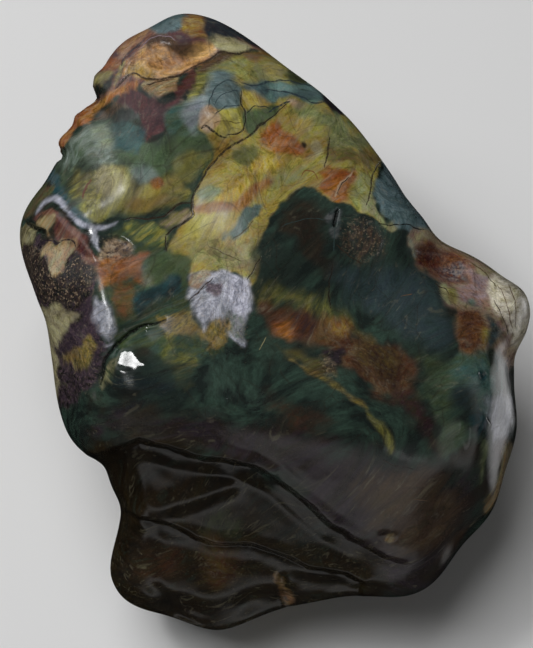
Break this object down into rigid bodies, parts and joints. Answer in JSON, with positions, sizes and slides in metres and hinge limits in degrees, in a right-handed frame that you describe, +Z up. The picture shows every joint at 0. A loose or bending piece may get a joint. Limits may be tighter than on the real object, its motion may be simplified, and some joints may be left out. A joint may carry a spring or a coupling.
{
  "type": "polished stone specimen",
  "caption": "Hand-sized polished chunk of picture jasper with a knob, a rounded belly, ledges below it and a small flat spot to lie on.",
  "frame": {"origin": "on the ground under the middle of the bounding box, with the stone lying on its flat spot", "axes": "+X to the right of the decorated front, +Y towards its knob, +Z up"},
  "size_m": [0.098, 0.1096, 0.062],
  "materials": {
    "jasper": "polished"
  },
  "bodies": {
    "root": {"stone": "jasper"}
  },
  "joints": []
}
